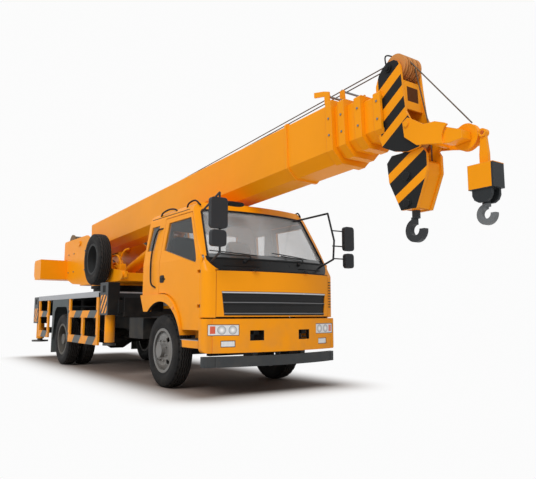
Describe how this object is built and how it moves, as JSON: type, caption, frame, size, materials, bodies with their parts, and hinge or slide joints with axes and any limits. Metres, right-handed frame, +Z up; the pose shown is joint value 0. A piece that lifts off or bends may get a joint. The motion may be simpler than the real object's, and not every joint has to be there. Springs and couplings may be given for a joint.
{
  "type": "truck crane",
  "caption": "Truck-mounted crane with a telescopic boom, slewing turntable, luff cylinder, sliding outriggers with jacks, driver's cab with opening doors and steered, rolling wheels.",
  "frame": {"origin": "on the ground under the middle of the overall length and width", "axes": "+X forward along the crane, +Y to its left, +Z up"},
  "size_m": [11.6124, 2.52, 3.7591],
  "materials": {
    "rubber": "matte",
    "glass": "clear",
    "steel": "satin",
    "dark": "satin",
    "engine": "rough",
    "plastic": "matte",
    "orange": "gloss"
  },
  "bodies": {
    "carrier": {"chassis_frame": "dark", "axles": "dark", "leaf_springs": "dark", "drive_train": "engine", "tanks": "dark", "subframe": "dark", "deck": "steel", "outrigger_housings": "dark", "side_guards": "orange", "mudguards": "dark", "cab_shell": "orange", "cab_glass": "glass", "cab_inside": "plastic", "headlamp_panel": "orange", "bumpers": "dark", "lamps": "glass", "fenders": "orange", "mirrors": "plastic"},
    "front_lid": {"front_panel": "orange", "grille": "plastic"},
    "door_right": {"door_right": "orange", "door_right_glass": "glass"},
    "door_left": {"door_left": "orange", "door_left_glass": "glass"},
    "knuckle_right": {"knuckle_right": "dark"},
    "knuckle_left": {"knuckle_left": "dark"},
    "wheel_front_right": {"tyre_front_right": "rubber", "rim_front_right": "steel"},
    "wheel_front_left": {"tyre_front_left": "rubber", "rim_front_left": "steel"},
    "wheels_rear_right": {"tyres_rear_right": "rubber", "rims_rear_right": "steel"},
    "wheels_rear_left": {"tyres_rear_left": "rubber", "rims_rear_left": "steel"},
    "beam_front_right": {"beam_front_right": "dark"},
    "beam_front_left": {"beam_front_left": "dark"},
    "beam_rear_right": {"beam_rear_right": "dark"},
    "beam_rear_left": {"beam_rear_left": "dark"},
    "jack_front_right": {"jack_front_right": "steel"},
    "jack_front_left": {"jack_front_left": "steel"},
    "jack_rear_right": {"jack_rear_right": "steel"},
    "jack_rear_left": {"jack_rear_left": "steel"},
    "turntable": {"turntable": "orange", "counterweight": "orange", "winch": "steel", "spare_wheel": "rubber", "operator_cab": "orange", "operator_glass": "glass"},
    "operator_door": {"operator_door": "orange"},
    "boom_base": {"boom_base": "orange"},
    "boom_section_2": {"boom_section_2": "orange"},
    "boom_section_3": {"boom_section_3": "orange"},
    "boom_section_4": {"boom_section_4": "orange", "head_sheaves": "steel", "aux_jib": "orange"},
    "luff_barrel": {"luff_barrel": "orange"},
    "luff_rod": {"luff_rod": "steel"},
    "hook_falls": {"hook_falls": "dark"},
    "hook_block": {"hook_block": "orange"},
    "aux_hook": {"aux_hook": "dark"}
  },
  "joints": [
    {"name": "steer_right", "type": "hinge", "parent": "carrier", "child": "knuckle_right", "pos_m": [1.115, -0.767, 0.509], "axis": [0, 0, 1], "range_deg": [-35, 35]},
    {"name": "spin_front_right", "type": "hinge", "parent": "knuckle_right", "child": "wheel_front_right", "pos_m": [1.115, -0.927, 0.509], "axis": [0, 1, 0], "continuous": true},
    {"name": "spin_rear_right", "type": "hinge", "parent": "carrier", "child": "wheels_rear_right", "pos_m": [-3.385, -0.894, 0.509], "axis": [0, 1, 0], "continuous": true},
    {"name": "open_door_right", "type": "hinge", "parent": "carrier", "child": "door_right", "pos_m": [2.228, -1.045, 1.6], "axis": [0, 0, 1], "range_deg": [0, 68]},
    {"name": "extend_front_right", "type": "slide", "parent": "carrier", "child": "beam_front_right", "axis": [0, -1, 0], "range_m": [0, 1.2]},
    {"name": "lower_front_right", "type": "slide", "parent": "beam_front_right", "child": "jack_front_right", "axis": [0, 0, -1], "range_m": [0, 0.48]},
    {"name": "extend_rear_right", "type": "slide", "parent": "carrier", "child": "beam_rear_right", "axis": [0, -1, 0], "range_m": [0, 1.2]},
    {"name": "lower_rear_right", "type": "slide", "parent": "beam_rear_right", "child": "jack_rear_right", "axis": [0, 0, -1], "range_m": [0, 0.37]},
    {"name": "steer_left", "type": "hinge", "parent": "carrier", "child": "knuckle_left", "pos_m": [1.115, 0.767, 0.509], "axis": [0, 0, 1], "range_deg": [-35, 35]},
    {"name": "spin_front_left", "type": "hinge", "parent": "knuckle_left", "child": "wheel_front_left", "pos_m": [1.115, 0.927, 0.509], "axis": [0, 1, 0], "continuous": true},
    {"name": "spin_rear_left", "type": "hinge", "parent": "carrier", "child": "wheels_rear_left", "pos_m": [-3.385, 0.894, 0.509], "axis": [0, 1, 0], "continuous": true},
    {"name": "open_door_left", "type": "hinge", "parent": "carrier", "child": "door_left", "pos_m": [2.228, 1.045, 1.6], "axis": [0, 0, -1], "range_deg": [0, 68]},
    {"name": "extend_front_left", "type": "slide", "parent": "carrier", "child": "beam_front_left", "axis": [0, 1, 0], "range_m": [0, 1.2]},
    {"name": "lower_front_left", "type": "slide", "parent": "beam_front_left", "child": "jack_front_left", "axis": [0, 0, -1], "range_m": [0, 0.48]},
    {"name": "extend_rear_left", "type": "slide", "parent": "carrier", "child": "beam_rear_left", "axis": [0, 1, 0], "range_m": [0, 1.2]},
    {"name": "lower_rear_left", "type": "slide", "parent": "beam_rear_left", "child": "jack_rear_left", "axis": [0, 0, -1], "range_m": [0, 0.37]},
    {"name": "open_front_lid", "type": "hinge", "parent": "carrier", "child": "front_lid", "pos_m": [2.549, 0, 1.578], "axis": [0, -1, 0], "range_deg": [0, 60]},
    {"name": "slew", "type": "hinge", "parent": "carrier", "child": "turntable", "pos_m": [-3.285, 0, 1.6], "axis": [0, 0, 1], "continuous": true},
    {"name": "open_operator_door", "type": "hinge", "parent": "turntable", "child": "operator_door", "pos_m": [-2.335, 1.205, 2.2], "axis": [0, 0, -1], "range_deg": [0, 85]},
    {"name": "boom_luff", "type": "hinge", "parent": "turntable", "child": "boom_base", "pos_m": [-4.285, 0, 2.6], "axis": [0, -1, 0], "range_deg": [0, 75.5]},
    {"name": "boom_extend", "type": "slide", "parent": "boom_base", "child": "boom_section_2", "axis": [0.999, 0, 0.0436], "range_m": [0, 6.3]},
    {"name": "extend_section_3", "type": "slide", "parent": "boom_base", "child": "boom_section_3", "axis": [0.999, 0, 0.0436], "range_m": [0, 12.6]},
    {"name": "extend_section_4", "type": "slide", "parent": "boom_base", "child": "boom_section_4", "axis": [0.999, 0, 0.0436], "range_m": [0, 18.9]},
    {"name": "luff_barrel_swing", "type": "hinge", "parent": "turntable", "child": "luff_barrel", "pos_m": [-3.185, 0, 1.81], "axis": [0, -1, 0], "range_deg": [0, 76.4]},
    {"name": "luff_rod_slide", "type": "slide", "parent": "luff_barrel", "child": "luff_rod", "axis": [0.9668, 0, 0.2557], "range_m": [0, 1.6628]},
    {"name": "hook_falls_plumb", "type": "hinge", "parent": "boom_section_4", "child": "hook_falls", "pos_m": [4.83695, 0, 2.84613], "axis": [0, -1, 0], "range_deg": [-75.7, 0]},
    {"name": "hook_hoist", "type": "slide", "parent": "hook_falls", "child": "hook_block", "axis": [0, 0, -1], "range_m": [0, 1.6]},
    {"name": "aux_hook_plumb", "type": "hinge", "parent": "boom_section_4", "child": "aux_hook", "pos_m": [5.47698, 0, 2.67588], "axis": [0, -1, 0], "range_deg": [-75.7, 0]}
  ],
  "couplings": [
    {"joint": "steer_left", "follows": "steer_right", "ratio": 1},
    {"joint": "extend_section_3", "follows": "boom_extend", "ratio": 2},
    {"joint": "extend_section_4", "follows": "boom_extend", "ratio": 3},
    {"joint": "luff_barrel_swing", "follows": "boom_luff", "ratio": 1.0093},
    {"joint": "luff_rod_slide", "follows": "boom_luff", "m_per_rad": 1.2581},
    {"joint": "hook_falls_plumb", "follows": "boom_luff", "ratio": -1},
    {"joint": "aux_hook_plumb", "follows": "boom_luff", "ratio": -1},
    {"joint": "hook_hoist", "follows": "boom_luff", "m_per_rad": 1.2}
  ]
}
